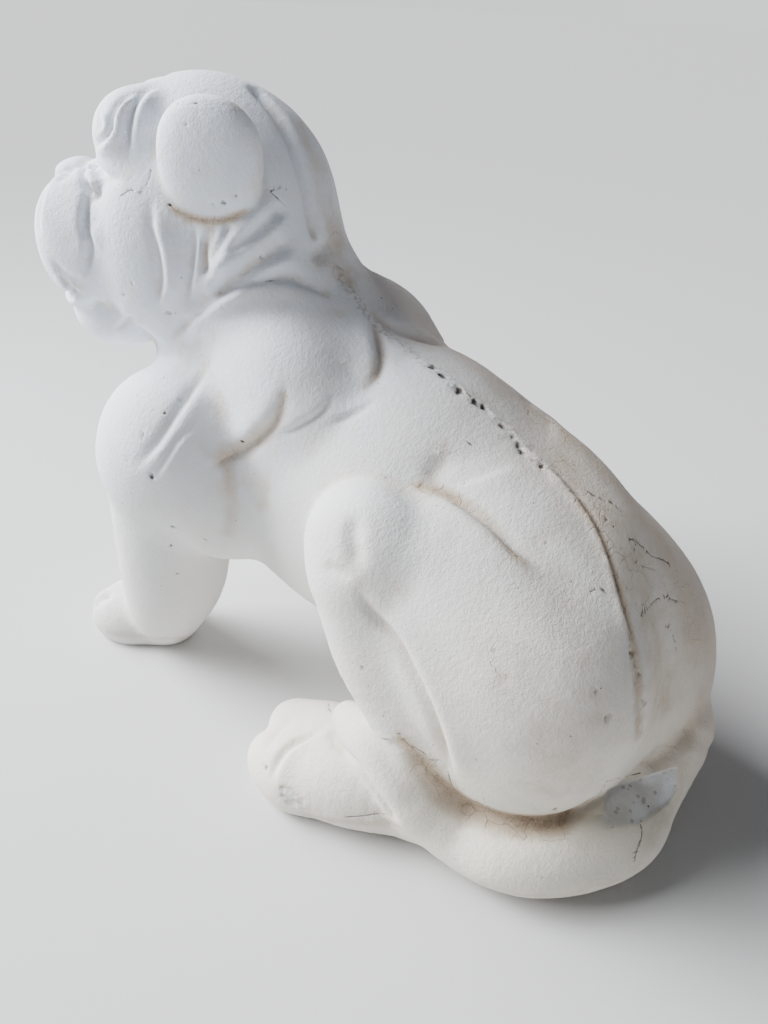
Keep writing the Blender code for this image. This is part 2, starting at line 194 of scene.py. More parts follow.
# Folds as they are drawn in the photograph, in its pixels. A lap is raised on the left hand of its line
# and sinks on the right. A ridge is the same on both sides, and a groove is a ridge below zero. Rise,
# width and sink are in grains. The last word says behind which middle plane the fold is repeated.
SEEN = (
    lap(((163, 86), (147, 94), (136, 112), (132, 134), (131, 164)), 4, 9, 2.5, "head"),
    lap(((140, 91), (122, 104), (115, 117), (114, 128), (108, 139), (96, 149)), 3.6, 7, 2.5, "head"),
    lap(((108, 104), (101, 114), (104, 126), (96, 136)), 1.6, 5, 1, "head"),
    lap(((98, 161), (103, 168), (109, 174), (118, 178), (126, 177)), 2.2, 7, 2.4, "head"),
    ridge(((89, 194), (96, 195), (103, 190)), -3, 4, "head"),
    ridge(((88, 186), (96, 184), (106, 183)), 1.8, 3.5, "head"),
    ridge(((71, 163), (69, 171), (62, 178), (55, 183)), -2.2, 3, "head"),
    lap(
        ((82, 278), (84, 266), (87, 244), (84, 232), (83, 219), (85, 197), (91, 179)),
        2.6,
        9,
        3.2,
        "head",
    ),
    ridge(((92, 222), (97, 236), (94, 250)), 1.6, 6, "head"),
    ridge(((49, 257), (57, 268), (66, 276), (77, 281), (84, 276)), -2.6, 3.5, "head"),
    lap(((86, 300), (72, 290), (62, 281), (53, 271)), 2, 6, 1.4, "head"),
    ridge(((88, 304), (96, 305), (104, 301)), -2, 4, "head"),
    lap(((108, 331), (120, 323), (136, 309)), 2, 8, 1.6, "head"),
    lap(((155, 192), (154, 225), (160, 248), (164, 278), (161, 296), (156, 312)), 4.5, 11, 2.5, "head"),
    lap(((199, 224), (197, 248), (194, 274), (188, 302)), 4, 7, 2.5, "head"),
    ridge(((206, 232), (205, 252), (208, 278)), -3.4, 3.2, "head"),
    ridge(((226, 224), (218, 248), (212, 272)), 2, 4, "head"),
    ridge(((233, 222), (224, 240), (214, 262)), -2.8, 2.6, "head"),
    ridge(((277, 192), (256, 214), (239, 235), (225, 254), (212, 280)), 5.5, 6.5, "head"),
    ridge(((286, 203), (264, 226), (240, 243), (226, 257)), -3.4, 4, "head"),
    ridge(((288, 214), (264, 236), (241, 253), (223, 268), (200, 294)), 4.5, 5.5, "head"),
    ridge(((292, 240), (281, 249), (263, 261), (238, 278), (214, 298)), -2.6, 4, "head"),
    ridge(((302, 252), (270, 268), (240, 289), (211, 306), (180, 326)), 4.5, 6.5, "head"),
    lap(
        ((343, 304), (302, 287), (279, 281), (249, 287), (226, 297), (197, 320), (168, 344)),
        4,
        16,
        3,
        None,
    ),
    ridge(((250, 84), (277, 113), (293, 145), (304, 178), (311, 213), (318, 246)), -5, 4.5, None),
    ridge(((330, 236), (322, 249), (308, 262)), -3, 6, None),
    lap(((356, 391), (369, 384), (377, 367), (377, 347), (371, 327), (360, 310)), 3.4, 16, 3.4, "body"),
    lap(((202, 471), (220, 458), (247, 444), (270, 421), (280, 398), (287, 376)), 4, 16, 4, "body"),
    lap(((214, 360), (194, 393), (178, 417), (158, 447), (132, 474)), 2.2, 12, 2.2, "body"),
    lap(((204, 426), (184, 437), (168, 460), (152, 486)), 1.4, 8, 1.1, "body"),
    lap(((273, 437), (297, 425), (320, 410), (336, 389)), 1.2, 8, 2, "body"),
    lap(((320, 427), (357, 410), (381, 395)), 0.8, 8, 1.6, "body"),
    lap(
        ((548, 575), (530, 561), (511, 547), (494, 530), (473, 514), (450, 501), (424, 490)),
        3,
        16,
        4,
        "body",
    ),
    ridge(((356, 508), (352, 530), (354, 552), (360, 576)), -3.2, 6, "body"),
    ridge(((406, 486), (421, 508), (425, 538), (414, 566), (394, 592)), 3.0, 13, "body"),
    ridge(((320, 566), (338, 572), (356, 579)), -1.8, 4, "body"),
    lap(
        (
            (358, 577),
            (369, 603),
            (386, 624),
            (400, 641),
            (415, 670),
            (428, 697),
            (440, 728),
            (449, 757),
            (458, 780),
        ),
        3.4,
        15,
        4,
        "body",
    ),
    ridge(((420, 484), (434, 474), (441, 461), (442, 448)), -2.2, 7, "body"),
    lap(((530, 464), (505, 469), (478, 480), (452, 486), (430, 488)), 1, 13, 0.4, "body"),
    ridge(
        ((340, 276), (356, 300), (376, 330), (430, 368), (480, 405), (520, 440), (548, 470), (573, 493)),
        1.1,
        5,
        None,
    ),
    lap(
        ((632, 641), (623, 612), (615, 583), (605, 549), (592, 520), (573, 493), (548, 470)),
        1.6,
        5,
        1.2,
        None,
    ),
    ridge(((632, 641), (637, 675), (639, 705), (641, 738)), -1.6, 5, None),
    ridge(
        (
            (386, 738),
            (407, 753),
            (432, 774),
            (457, 799),
            (490, 816),
            (523, 826),
            (557, 824),
            (586, 808),
            (607, 789),
        ),
        -1.5,
        3,
        None,
    ),
    ridge(
        ((402, 750), (424, 780), (450, 806), (486, 823), (523, 833), (560, 829), (592, 812)),
        -3.2,
        7,
        None,
    ),
    ridge(((328, 727), (336, 744), (354, 762), (371, 787), (385, 806), (397, 824)), -2.6, 4, None),
    ridge(((345, 716), (360, 735), (378, 762), (394, 788), (415, 812)), 2, 10, None),
    ridge(((700, 716), (680, 744), (657, 762), (640, 772)), -4, 6, None),
    lap(((331, 727), (296, 744), (280, 761), (272, 786)), 1.6, 9, 4, "body"),
    ridge(((296, 715), (277, 733), (263, 756)), -1.2, 4, "body"),
)

# Hairline cracks in the paint, filled with dirt, in the photograph's pixels.
CRACKS = (
    ((240, 291), (246, 289), (261, 283), (279, 280), (299, 283), (312, 289)),
    ((261, 207), (266, 199), (270, 192), (279, 188), (286, 190)),
    ((270, 192), (281, 201), (287, 206)),
    ((120, 196), (131, 190), (140, 192), (148, 181), (151, 170)),
    ((440, 440), (437, 452), (441, 461), (437, 470), (428, 478)),
    ((441, 461), (452, 453), (461, 446), (475, 443)),
    ((466, 492), (474, 484), (489, 480), (503, 479)),
    ((461, 500), (466, 492), (464, 484)),
    ((459, 501), (474, 506), (489, 514), (497, 532), (508, 541), (503, 556), (501, 571)),
    ((587, 491), (601, 499), (611, 503), (621, 511)),
    ((604, 516), (615, 529), (627, 538), (636, 542), (633, 556), (640, 566)),
    ((636, 542), (645, 549), (652, 556), (663, 560), (672, 567)),
    ((640, 566), (655, 570), (663, 582), (668, 597), (677, 601), (690, 603)),
    ((626, 587), (636, 594), (643, 606), (641, 616), (649, 607), (657, 599), (668, 597)),
    ((590, 592), (598, 589), (609, 592)),
    ((661, 621), (672, 633), (677, 651)),
    ((431, 472), (424, 481), (419, 487)),
    ((398, 733), (407, 743), (419, 754), (431, 760), (441, 761), (448, 772), (452, 786), (461, 795)),
    ((461, 795), (470, 800), (487, 806), (503, 812), (517, 815), (536, 820), (549, 821), (566, 817)),
    ((566, 817), (577, 811), (588, 800), (598, 795), (604, 787), (607, 782), (621, 778), (640, 773)),
    ((412, 746), (425, 755), (434, 771), (446, 781), (455, 791)),
    ((640, 822), (642, 835), (637, 850), (634, 862)),
    ((379, 738), (391, 741), (402, 751)),
    ((328, 700), (330, 712)),
    ((345, 817), (361, 816), (378, 814), (395, 816)),
)

# Air holes in the casting, with their radius in grains.
AIR_HOLES = (
    (122, 294, 1.5),
    (131, 283, 1.1),
    (213, 253, 1.4),
    (262, 257, 1.4),
    (168, 314, 1.2),
    (137, 304, 0.9),
    (243, 440, 1.7),
    (152, 477, 1.5),
    (179, 399, 0.9),
    (165, 413, 0.9),
    (144, 434, 0.9),
    (127, 462, 0.9),
    (173, 527, 1.2),
    (171, 545, 0.9),
    (206, 540, 0.9),
    (189, 520, 0.8),
    (177, 574, 0.9),
    (544, 542, 1.6),
    (361, 667, 0.9),
    (478, 760, 1.3),
    (505, 675, 0.8),
    (582, 883, 2.0),
    (266, 768, 1.6),
    (556, 809, 1.3),
    (420, 499, 1.0),
    (417, 580, 0.8),
    (196, 104, 0.8),
    (185, 125, 0.8),
    (200, 172, 0.8),
    (214, 206, 1.6),
    (224, 203, 1.2),
    (236, 196, 0.9),
    (170, 205, 0.9),
    (633, 653, 2.2),
    (637, 664, 1.5),
    (641, 674, 1.4),
    (637, 684, 1.6),
    (645, 701, 2.4),
    (636, 706, 1.5),
    (643, 716, 1.8),
    (608, 718, 1.7),
    (597, 693, 1.2),
    (632, 750, 1.8),
    (431, 368, 2.2),
    (440, 376, 1.8),
    (448, 388, 1.6),
    (459, 391, 2.4),
    (470, 395, 2.0),
    (474, 402, 1.8),
    (483, 407, 2.6),
    (489, 408, 2.0),
    (492, 417, 1.6),
    (501, 427, 1.8),
    (512, 437, 1.8),
    (518, 445, 2.4),
    (522, 452, 2.2),
    (534, 461, 1.8),
    (541, 467, 1.5),
)

# Where dirt has gathered, and where broad strokes of painted shade darken the back: the line it lies along
# in pixels, its width in grains, and how thick it is.
DIRT_AND_PAINTED_SHADE = (
    (((172, 208), (184, 215), (200, 220), (218, 221), (232, 218), (244, 210)), 3, 0.9),
    (((205, 222), (212, 236), (206, 252), (203, 270)), 5, 0.45),
    (((244, 214), (254, 206), (262, 198)), 4, 0.5),
    (((236, 232), (225, 247), (214, 262), (207, 283)), 3, 0.5),
    (((292, 240), (263, 261), (238, 278), (214, 298)), 3, 0.4),
    (((240, 110), (256, 135), (262, 165), (257, 190)), 8, 0.35),
    (((150, 210), (152, 240), (157, 270), (160, 295)), 8, 0.3),
    (((104, 128), (118, 150), (126, 176)), 8, 0.25),
    (((128, 178), (140, 186), (150, 200)), 9, 0.3),
    (((101, 186), (92, 190), (90, 200)), 3, 0.4),
    (((74, 166), (71, 171), (66, 178)), 2, 0.6),
    (((84, 276), (78, 286), (68, 284), (56, 272)), 3, 0.5),
    (((125, 335), (137, 322), (147, 305)), 5, 0.25),
    # These two broad strokes are painted shade on the rump beside the seam and on the lower thigh.
    (((560, 590), (585, 650), (600, 730)), 30, 0.4),
    (((500, 680), (540, 730), (560, 780)), 34, 0.35),
    (((340, 235), (335, 252), (345, 268)), 14, 0.55),
    (((322, 258), (336, 270), (350, 285)), 10, 0.45),
    (((300, 130), (318, 165), (328, 205), (333, 228)), 16, 0.4),
    (((376, 330), (381, 352), (376, 372), (366, 384)), 5, 0.55),
    (((220, 455), (240, 446), (262, 436), (280, 415)), 9, 0.6),
    (((284, 396), (276, 420), (250, 446), (222, 462)), 4, 0.6),
    (((205, 452), (222, 462), (232, 478)), 6, 0.35),
    (((229, 470), (230, 492), (232, 512), (228, 532)), 7, 0.5),
    (((144, 470), (134, 500), (126, 540), (124, 575)), 6, 0.2),
    (((110, 580), (104, 590), (108, 610)), 6, 0.3),
    (((421, 486), (441, 491), (463, 503), (482, 515), (498, 530), (508, 547), (522, 562)), 5, 0.75),
    (((444, 442), (440, 460), (428, 478)), 4, 0.4),
    (((340, 508), (352, 540), (358, 576)), 7, 0.25),
    (((362, 585), (385, 622), (410, 660), (432, 706), (446, 745)), 5, 0.35),
    (((402, 740), (428, 768), (452, 789), (486, 808), (520, 818), (556, 817), (590, 800)), 7, 1.0),
    (((420, 765), (445, 790), (480, 812), (520, 826), (560, 824)), 11, 0.75),
    (((352, 757), (368, 783), (386, 808)), 3, 0.4),
    (((284, 786), (292, 797), (303, 806)), 6, 0.5),
    (((300, 814), (345, 822), (395, 824)), 5, 0.45),
    (((107, 632), (150, 638), (196, 636)), 6, 0.45),
    (((430, 860), (480, 884), (550, 897), (615, 880)), 6, 0.35),
    (((380, 320), (440, 362), (500, 405), (550, 450), (590, 498)), 14, 0.3),
    # These two broad strokes are painted shade, tinted brown, along the far side of the back and rump.
    (((560, 470), (610, 520), (640, 580), (655, 640), (660, 700)), 34, 0.55),
    (((470, 360), (540, 415), (610, 475), (670, 560), (700, 640)), 26, 0.45),
    (((575, 495), (600, 535), (615, 575), (628, 620), (634, 650)), 4, 0.8),
    (((636, 650), (640, 690), (640, 735)), 6, 0.6),
    (((700, 700), (690, 735), (672, 755), (650, 766)), 14, 0.4),
    (((684, 768), (672, 808), (652, 840), (636, 868)), 10, 0.4),
)

# The rough casting seam down the spine, and how wide it is in grains.
SEAM = (
    (340, 276),
    (356, 300),
    (380, 328),
    (408, 350),
    (430, 368),
    (480, 405),
    (520, 440),
    (548, 470),
    (573, 493),
)
SEAM_LOW = (
    (573, 493),
    (592, 520),
    (605, 549),
    (615, 583),
    (623, 612),
    (632, 641),
    (637, 675),
    (639, 705),
    (641, 738),
)
SEAM_WIDTH = 5

# The bare concrete where the root of the tail is chipped, and how deep it is in grains.
CHIP = (
    (607, 791),
    (622, 784),
    (636, 780),
    (657, 773),
    (677, 768),
    (677, 787),
    (669, 803),
    (640, 824),
    (611, 828),
    (602, 816),
)
CHIP_DEPTH = 1.6

# The toes of the hind foot are knocked rough here.
TOE_CHIP = ((280, 786), (292, 789), (303, 800), (304, 810), (290, 806), (280, 796))
TOE_CHIP_DEPTH = 0.9

# How deep and wide a crack is pressed in, how wide it looks dirty, and how deep an air hole is against
# its radius. All but the last are in grains.
CRACK_DEPTH = 0.3
CRACK_WIDTH = 0.6
CRACK_DIRT = 0.55
HOLE_DEPTH = 1.3

# The surface made by hand swells softly: how wide the swells are, how high, and their seed.
SWELLS = ((26, 0.35, 1), (8, 0.16, 2))

# The surface's cells are cut finer near a mark: how near, and down to what length, in grains.
FINER_CELLS = ((3.2, 1.3), (1.8, 0.8))

# Folds of the front of the face: nose, flews, mouth, eyes and brow. Then of the front paws and chest.
FACE_FOLDS = (
    ridge(((0, 121, -8), (0, 128, -26), (0, 120, -48)), -6, 5, both=False),
    lap(((57, 96, -50), (46, 108, -62), (26, 119, -58), (4, 120, -48)), 4, 8, 5),
    ridge(((7, 126, 5), (13, 123, 8), (17, 117, 8)), -4, 3.5),
    ridge(((21, 108, 12), (20, 117, -2), (12, 124, -9), (3, 127, -12)), -4, 4),
    ridge(((-36, 84, 18), (-18, 92, 24), (0, 95, 26), (18, 92, 24), (36, 84, 18)), 3.5, 6, both=False),
    ridge(((-22, 96, 12), (0, 103, 19), (22, 96, 12)), -2.5, 4, both=False),
    ridge(((0, 86, 34), (0, 84, 50), (0, 66, 66), (0, 36, 74)), -6, 7, both=False),
    lap(((22, 84, 8), (30, 86, 1), (41, 82, -1), (48, 74, 3)), 2, 5, 3),
    lap(((50, 72, 18), (40, 82, 20), (28, 85, 17), (20, 88, 10)), 2, 5, 3),
    ridge(((27, 90, 10), (43, 82, 9)), 3, 7),
    ridge(((22, 92, 8), (31, 91, 11), (40, 86, 10), (47, 78, 6)), -4.5, 2.3),
    lap(((26, 100, 8), (37, 106, -6), (44, 110, -24)), 1.5, 8, 1.5),
    ridge(((20, 92, -100), (0, 95, -103), (-20, 92, -100)), -2, 6, both=False),
)

PAW_FOLDS = (
    ridge(((114, -220, 42), (126, -242, 30), (130, -250, 12)), -5, 5),
    ridge(((96, -230, 42), (108, -252, 30), (113, -258, 12)), -5, 5),
    ridge(((0, -190, 215), (0, -186, 170), (0, -170, 120)), -4, 12, both=False),
)

# Masses further than this from a point have no say in it, in grains.
REACH = 60


def grown(masses, axes=np.identity(3), place=(0, 0, 0)):
    """The masses as plain shapes in the statue's frame, each mirrored one twice."""
    shapes = []
    for mass in masses:
        for side in (1, -1) if mass["both"] else (1,):
            flip = np.array((side, 1, 1))
            if mass["kind"] == "egg":
                centre = axes @ (np.array(mass["at"]) * flip) + place
                roll, lean, swing = mass["tilt"]
                turn = axes @ turned((roll, lean * side, swing * side))
                size = np.array(mass["size"], float)
                shapes.append(("egg", centre, size, turn, mass["square"], mass["blend"]))
            else:
                ends = np.array([axes @ (np.array(point[:3]) * flip) + place for point in mass["points"]])
                radii = np.array([point[3] for point in mass["points"]], float)
                shapes.append(("limb", *smooth_line(ends, radii, steps=6), mass["blend"]))
    return shapes


def smooth_line(points, radii, steps=3):
    """A Catmull-Rom curve through the points, with its radii, as more points."""
    rows = np.column_stack([points, radii])
    rows = np.vstack([2 * rows[0] - rows[1], rows, 2 * rows[-1] - rows[-2]])
    out = []
    for before, start, end, after in zip(rows, rows[1:], rows[2:], rows[3:]):
        for t in np.arange(steps) / steps:
            pull = (end - before) * t + (3 * start - before - 3 * end + after) * t**3
            out.append(start + 0.5 * (pull + (2 * before - 5 * start + 4 * end - after) * t**2))
    out = np.array(out + [rows[-2]])
    return out[:, :-1], out[:, -1]


def egg_distance(points, centre, size, turn, square):
    """About how far each point is outside an egg, below zero inside it."""
    local = np.abs((points - centre) @ turn) / size
    ratio = np.maximum(np.sum(local**square, axis=1) ** (1 / square), 1e-6)
    slope = np.linalg.norm((local / ratio[:, None]) ** (square - 1) / size, axis=1)
    return (ratio - 1) / np.maximum(slope, 1e-9)


def limb_distance(points, line, radii):
    """How far each point is outside a tapering limb."""
    nearest = np.full(len(points), np.inf)
    for start, end, wide, narrow in zip(line, line[1:], radii, radii[1:]):
        along = end - start
        t = np.clip((points - start) @ along / (along @ along), 0, 1)
        gap = np.linalg.norm(points - start - t[:, None] * along, axis=1)
        nearest = np.minimum(nearest, gap - wide - t * (narrow - wide))
    return nearest


def blended(first, second, width):
    """The union of two distances, with the crease between them filled over this width."""
    overlap = np.maximum(width - np.abs(first - second), 0) / width
    return np.minimum(first, second) - overlap**2 * width / 4


def clay_distance(points, shapes):
    """How far each point is outside the blended figure."""
    total = np.full(len(points), float(REACH))
    for shape in shapes:
        if shape[0] == "egg":
            middle, radius, measure = shape[1], shape[2].max() * 1.3, egg_distance
        else:
            middle = shape[1].mean(axis=0)
            radius = (np.linalg.norm(shape[1] - middle, axis=1) + shape[2]).max()
            measure = limb_distance
        near = np.linalg.norm(points - middle, axis=1) < radius + REACH
        total[near] = blended(total[near], measure(points[near], *shape[1:-1]), shape[-1])
    return total


def all_shapes():
    """Every mass of the figure, in the order in which they blend."""
    head = grown(HEAD, head_axes(), np.array(HEAD_PLACE, float))
    return grown(TORSO + NECK + SHOULDERS + FORELEGS + HAUNCHES + HINDFEET) + head + grown(TAIL)


def drawn(folds, axes=np.identity(3), place=(0, 0, 0)):
    """The folds as smooth curves in the statue's frame, each mirrored one twice."""
    curves = []
    for each in folds:
        for side in (1, -1) if each["both"] else (1,):
            ends = np.array(each["points"], float) * (side, 1, 1) @ axes.T + place
            line = smooth_line(ends, np.zeros(len(ends)))[0]
            curves.append((line, each["rise"], each["width"], each["sink"], side))
    return curves


def laid(curves, shapes):
    """The curves with every point moved onto the surface of the masses."""
    ends = np.cumsum([len(curve[0]) for curve in curves])[:-1]
    spots = np.concatenate([curve[0] for curve in curves])
    spots = settle(spots, lambda points: clay_distance(points, shapes), rounds=8)
    return [(line, *curve[1:]) for line, curve in zip(np.split(spots, ends), curves)]


def beside(points, outward, line):
    """How far each point is from the line, below zero on its right hand, how far along, and its length."""
    nearest, hand, along = np.full(len(points), np.inf), np.ones(len(points)), np.zeros(len(points))
    passed = 0
    for start, end in zip(line, line[1:]):
        run = end - start
        length = np.linalg.norm(run)
        t = np.clip((points - start) @ run / length**2, 0, 1)
        offset = points - start - t[:, None] * run
        gap = np.linalg.norm(offset, axis=1)
        closer = gap < nearest
        nearest[closer] = gap[closer]
        hand[closer] = np.sign(np.sum(np.cross(run, offset[closer]) * outward[closer], axis=1))
        along[closer] = passed + t[closer] * length
        passed += length
    return nearest * hand, along, passed


def relief(points, outward, curves):
    """How far each point is raised by the curves, in grains. Every fold dies away towards its ends."""
    total = np.zeros(len(points))
    for line, rise, width, sink, turn in curves:
        reach = 3 * width
        near = np.all((points > line.min(axis=0) - reach) & (points < line.max(axis=0) + reach), axis=1)
        gap, along, length = beside(points[near], outward[near], line)
        ends = np.clip(np.minimum(along, length - along) / min(0.4 * length, 2.5 * width), 0, 1)
        if sink is None:
            height = rise * np.exp(-((gap / width) ** 2))
        else:
            height = rise * np.exp(-((gap / width) ** 2)) * (1 + np.tanh(gap * turn / LAP_EDGE)) / 2
            height -= sink * np.exp(-(((gap * turn + LAP_EDGE) / (0.35 * width)) ** 2))
        total[near] += height * ends * ends * (3 - 2 * ends)
    return total


def facing(points, shapes):
    """The outward direction of the masses' surface at each point."""
    probe = 0.5
    height = clay_distance(points, shapes)
    steps = [clay_distance(points + probe * axis, shapes) - height for axis in np.identity(3)]
    slope = np.stack(steps, axis=1)
    return slope / np.maximum(np.linalg.norm(slope, axis=1, keepdims=True), 1e-9)


def worked(mesh, name, kind, **settings):
    """The mesh after one modifier."""
    item = bpy.data.objects.new(name, mesh)
    bpy.context.scene.collection.objects.link(item)
    modifier = item.modifiers.new(name, kind)
    for key, value in settings.items():
        setattr(modifier, key, value)
    graph = bpy.context.evaluated_depsgraph_get()
    result = bpy.data.meshes.new_from_object(item.evaluated_get(graph))
    bpy.data.objects.remove(item)
    return result


def places(mesh):
    """Where the mesh's vertices are."""
    points = np.empty(len(mesh.vertices) * 3)
    mesh.vertices.foreach_get("co", points)
    return points.reshape(-1, 3)


def put(mesh, points):
    """Moves the mesh's vertices to these points."""
    mesh.vertices.foreach_set("co", points.ravel())
    mesh.update()


def rough_clay(shapes, voxel):
    """One closed mesh round all the masses, in grains, in cells of this size."""
    data = bpy.data.meshes.new("rough_clay")
    for shape in shapes:
        work = bmesh.new()
        work.from_mesh(data)
        if shape[0] == "egg":
            turn = Matrix(shape[3]).to_4x4()
            place = Matrix.Translation(shape[1]) @ turn @ Matrix.Diagonal((*shape[2], 1))
            bmesh.ops.create_icosphere(work, subdivisions=3, radius=1, matrix=place)
        else:
            for start, end, wide, narrow in zip(shape[1], shape[1][1:], shape[2], shape[2][1:]):
                for t in (0, 0.5, 1):
                    place = Matrix.Translation(start + t * (end - start))
                    radius = wide + t * (narrow - wide)
                    bmesh.ops.create_icosphere(work, subdivisions=2, radius=radius, matrix=place)
        work.to_mesh(data)
        work.free()
    return worked(data, "fuse", "REMESH", mode="VOXEL", voxel_size=voxel)


def settle(points, measure, rounds=3):
    """Moves each point onto the surface where the measured distance is nought."""
    probe = 0.5
    for _ in range(rounds):
        height = measure(points)
        ahead = [measure(points + probe * axis) for axis in np.identity(3)]
        slope = np.stack([there - height for there in ahead], axis=1) / probe
        slope /= np.maximum(np.linalg.norm(slope, axis=1, keepdims=True) ** 2, 0.25)
        points = points - np.clip(height, -8, 8)[:, None] * slope
    return points


def cut_flat(mesh):
    """Cuts the figure off flat at the ground and closes its underside."""
    work = bmesh.new()
    work.from_mesh(mesh)
    everything = work.verts[:] + work.edges[:] + work.faces[:]
    ground = {"plane_co": (0, 0, 0), "plane_no": (0, 0, -1), "clear_outer": True}
    cut = bmesh.ops.bisect_plane(work, geom=everything, **ground)
    rim = [item for item in cut["geom_cut"] if isinstance(item, bmesh.types.BMEdge)]
    bmesh.ops.holes_fill(work, edges=rim)
    bmesh.ops.triangulate(work, faces=work.faces)
    work.to_mesh(mesh)
    work.free()


def camera_axes():
    """Columns are the camera's right, up and backward directions."""
    azimuth, elevation, roll = map(math.radians, (CAMERA_AZIMUTH, CAMERA_ELEVATION, CAMERA_ROLL))
    level = math.cos(elevation)
    back = np.array((math.sin(azimuth) * level, -math.cos(azimuth) * level, math.sin(elevation)))
    right = np.cross((0, 0, 1), back)
    right /= np.linalg.norm(right)
    up = np.cross(back, right)
    turn_right = right * math.cos(roll) + up * math.sin(roll)
    turn_up = -right * math.sin(roll) + up * math.cos(roll)
    return np.array([turn_right, turn_up, back]).T


def cast(pixels, shapes):
    """Where the lines of sight through these pixels of the photograph meet the masses, in grains."""
    axes = camera_axes()
    spots = np.array(pixels, float)
    across = (spots[:, 0] - PHOTO_SIZE[0] / 2) / FOCAL_PIXELS
    down = (spots[:, 1] - PHOTO_SIZE[1] / 2) / FOCAL_PIXELS
    sight = np.column_stack([across, -down, -np.ones(len(spots))]) @ axes.T
    sight /= np.linalg.norm(sight, axis=1, keepdims=True)
    points = np.array(CAMERA_PLACE) + SIGHT_START * sight
    for _ in range(60):
        points = points + sight * np.clip(clay_distance(points, shapes), -20, 50)[:, None] * 0.9
    return points


def mirrored(points, part):
    """The points on the other side of the head's or the body's middle plane."""
    if part == "body":
        return points * (-1, 1, 1)
    axes, place = head_axes(), np.array(HEAD_PLACE, float)
    return ((points - place) @ axes * (-1, 1, 1)) @ axes.T + place


def cast_lines(drawings, shapes):
    """The smooth curves drawn in the photograph's pixels, as they lie on the masses."""
    lines = [smooth_line(np.array(each, float), np.zeros(len(each)))[0] for each in drawings]
    ends = np.cumsum([len(line) for line in lines])[:-1]
    return np.split(cast(np.concatenate(lines), shapes), ends)


def seen_curves(shapes):
    """The finer folds, from where the photograph shows them, and again on the hidden side."""
    curves, hidden = [], []
    for each, line in zip(SEEN, cast_lines([fold["points"] for fold in SEEN], shapes)):
        curves.append((line, each["rise"], each["width"], each["sink"], 1))
        if each["both"]:
            hidden.append((mirrored(line, each["both"]), each["rise"], each["width"], each["sink"], -1))
    return curves + laid(hidden, shapes)


def line_gap(points, line, reach):
    """How far each point is from the line, or the reach where it is further."""
    gap = np.full(len(points), float(reach))
    near = np.all((points > line.min(axis=0) - reach) & (points < line.max(axis=0) + reach), axis=1)
    gap[near] = np.minimum(limb_distance(points[near], line, np.zeros(len(line))), reach)
    return gap


def pixels_of(points):
    """Where the photograph shows these points, in its pixels."""
    local = (points - np.array(CAMERA_PLACE)) @ camera_axes()
    spots = np.column_stack([local[:, 0], -local[:, 1]]) / -local[:, 2:]
    return spots * FOCAL_PIXELS + np.array(PHOTO_SIZE) / 2


def within(points, outline, shapes):
    """How far inside an outline in the photograph's pixels each point is, in grains, below zero outside."""
    middle = cast([np.mean(outline, axis=0)], shapes)[0]
    away = np.linalg.norm(points - middle, axis=1)
    grain = FOCAL_PIXELS / np.linalg.norm(middle - np.array(CAMERA_PLACE))
    inside = np.full(len(points), -float(REACH))
    near = away < REACH
    spots = pixels_of(points[near])
    corners = np.array(outline, float)
    gap, crossed = np.full(len(spots), np.inf), np.zeros(len(spots), bool)
    for start, end in zip(corners, np.roll(corners, -1, axis=0)):
        run = end - start
        t = np.clip((spots - start) @ run / (run @ run), 0, 1)
        gap = np.minimum(gap, np.linalg.norm(spots - start - t[:, None] * run, axis=1))
        between = (start[1] > spots[:, 1]) != (end[1] > spots[:, 1])
        crossed ^= between & (spots[:, 0] < start[0] + (spots[:, 1] - start[1]) * run[0] / (run[1] or 1))
    inside[near] = np.where(crossed, gap, -gap) / grain
    return inside


def lumps(points, size, seed):
    """Soft lumps of this size in grains, from about -1 to 1."""
    shift = Vector((seed, seed * 2, seed * 3))
    return np.array([noise.noise(Vector(point) / size + shift) for point in points])


def cut_finer(mesh, lines, reach, shortest):
    """Cuts the edges near the lines in two wherever they are longer than the shortest."""
    points = places(mesh)
    near = np.zeros(len(points), bool)
    for line in lines:
        near |= line_gap(points, line, 2 * reach) < reach
    work = bmesh.new()
    work.from_mesh(mesh)
    edges = [
        edge
        for edge in work.edges
        if near[edge.verts[0].index] and near[edge.verts[1].index] and edge.calc_length() > shortest
    ]
    bmesh.ops.subdivide_edges(work, edges=edges, cuts=1)
    bmesh.ops.triangulate(work, faces=[face for face in work.faces if len(face.verts) > 3])
    work.to_mesh(mesh)
    work.free()


def fine_marks(shapes):
    """The cracks, the air holes, the seam and the edges of the chips, as they lie on the masses."""
    cracks = cast_lines(CRACKS, shapes)
    centres = cast([hole[:2] for hole in AIR_HOLES], shapes)
    holes = [(centre, hole[2]) for centre, hole in zip(centres, AIR_HOLES)]
    rims = cast_lines([(*chip, chip[0]) for chip in (CHIP, TOE_CHIP)], shapes)
    return {"cracks": cracks, "holes": holes, "rims": rims, "seams": cast_lines((SEAM, SEAM_LOW), shapes)}


